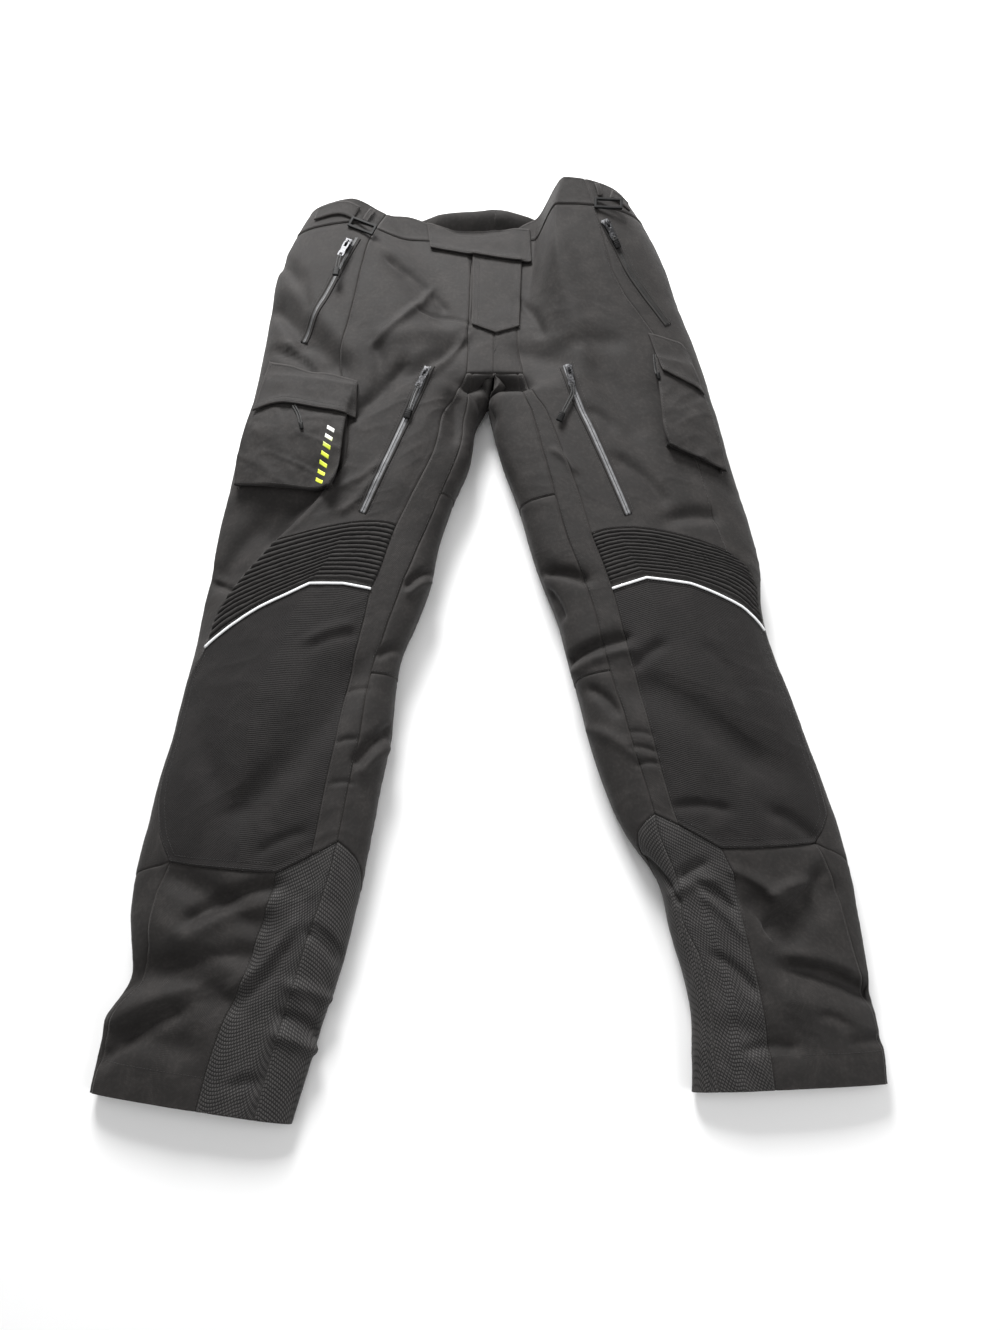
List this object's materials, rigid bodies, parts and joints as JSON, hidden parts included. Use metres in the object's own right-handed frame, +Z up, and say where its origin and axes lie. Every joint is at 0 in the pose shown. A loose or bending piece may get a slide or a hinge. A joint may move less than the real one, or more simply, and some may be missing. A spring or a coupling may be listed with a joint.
{
  "type": "motorcycle trousers",
  "caption": "Black textile motorcycle trousers laid flat, with knee panels, cargo pockets, zips and reflective piping.",
  "frame": {"origin": "middle of the laid garment's outline, on the surface that it lies on", "axes": "+Y towards the waist, +X towards the wearer's left leg, +Z up through the front"},
  "size_m": [0.806, 1.0698, 0.0911],
  "materials": {
    "shell": "charcoal-black woven textile with a faint sheen",
    "dense": "heavier plain-woven textile, matt black, with fine cross lines",
    "textured": "stretch textile with dotted cross rows, black",
    "reflective": "white reflective piping",
    "tape": "silver-grey coated zip tape",
    "gunmetal": "dark gunmetal lacquer",
    "black_plastic": "moulded black plastic and cord"
  },
  "bodies": {
    "trousers": {"adjuster_buckle_l": "black_plastic", "adjuster_buckle_r": "black_plastic", "adjuster_strap_l": "shell", "adjuster_strap_r": "shell", "back_calf_l": "shell", "back_calf_r": "shell", "back_thigh_l": "shell", "back_thigh_r": "shell", "belt_loop_l": "shell", "belt_loop_r": "shell", "calf_front_l": "shell", "calf_front_r": "shell", "calf_inner_l": "textured", "calf_inner_r": "textured", "calf_strip_l": "textured", "calf_strip_r": "textured", "cargo_bag_l": "shell", "cargo_bag_r": "shell", "cargo_flap_l": "shell", "cargo_flap_r": "shell", "cargo_puller_l": "black_plastic", "cargo_puller_r": "black_plastic", "closure_tab": "shell", "fly_base": "shell", "fly_flap": "shell", "front_thigh_l": "shell", "front_thigh_r": "shell", "gusset_l": "shell", "gusset_r": "shell", "hip_slider_l": "gunmetal", "hip_slider_r": "gunmetal", "hip_tape_l": "tape", "hip_tape_r": "tape", "inner_knee_l": "shell", "inner_knee_r": "shell", "inner_strip_l": "shell", "inner_strip_r": "shell", "inner_thigh_l": "shell", "inner_thigh_r": "shell", "knee_panel_l": "dense", "knee_panel_r": "dense", "piping_l": "reflective", "piping_r": "reflective", "rib_panel_l": "dense", "rib_panel_r": "dense", "vent_slider_l": "gunmetal", "vent_slider_r": "gunmetal", "vent_tape_l": "tape", "vent_tape_r": "tape", "waistband_back": "shell", "waistband_front_l": "shell", "waistband_front_r": "shell"},
    "vent_pull_r": {"vent_pull_r": "black_plastic"},
    "hip_pull_r": {"hip_pull_r": "black_plastic"},
    "vent_pull_l": {"vent_pull_l": "black_plastic"},
    "hip_pull_l": {"hip_pull_l": "black_plastic"}
  },
  "joints": [
    {"name": "vent_pull_r_hinge", "type": "hinge", "parent": "trousers", "child": "vent_pull_r", "pos_m": [-0.07501, 0.278, 0.07091], "axis": [-0.9191, 0.3939, 0], "range_deg": [0, 150]},
    {"name": "hip_pull_r_hinge", "type": "hinge", "parent": "trousers", "child": "hip_pull_r", "pos_m": [-0.17301, 0.454, 0.06789], "axis": [-0.9445, 0.3285, 0], "range_deg": [0, 150]},
    {"name": "vent_pull_l_hinge", "type": "hinge", "parent": "trousers", "child": "vent_pull_l", "pos_m": [0.09099, 0.28, 0.0729], "axis": [-0.9918, -0.128, 0], "range_deg": [0, 150]},
    {"name": "hip_pull_l_hinge", "type": "hinge", "parent": "trousers", "child": "hip_pull_l", "pos_m": [0.13799, 0.465, 0.09001], "axis": [-0.9062, -0.4229, 0], "range_deg": [0, 150]}
  ]
}
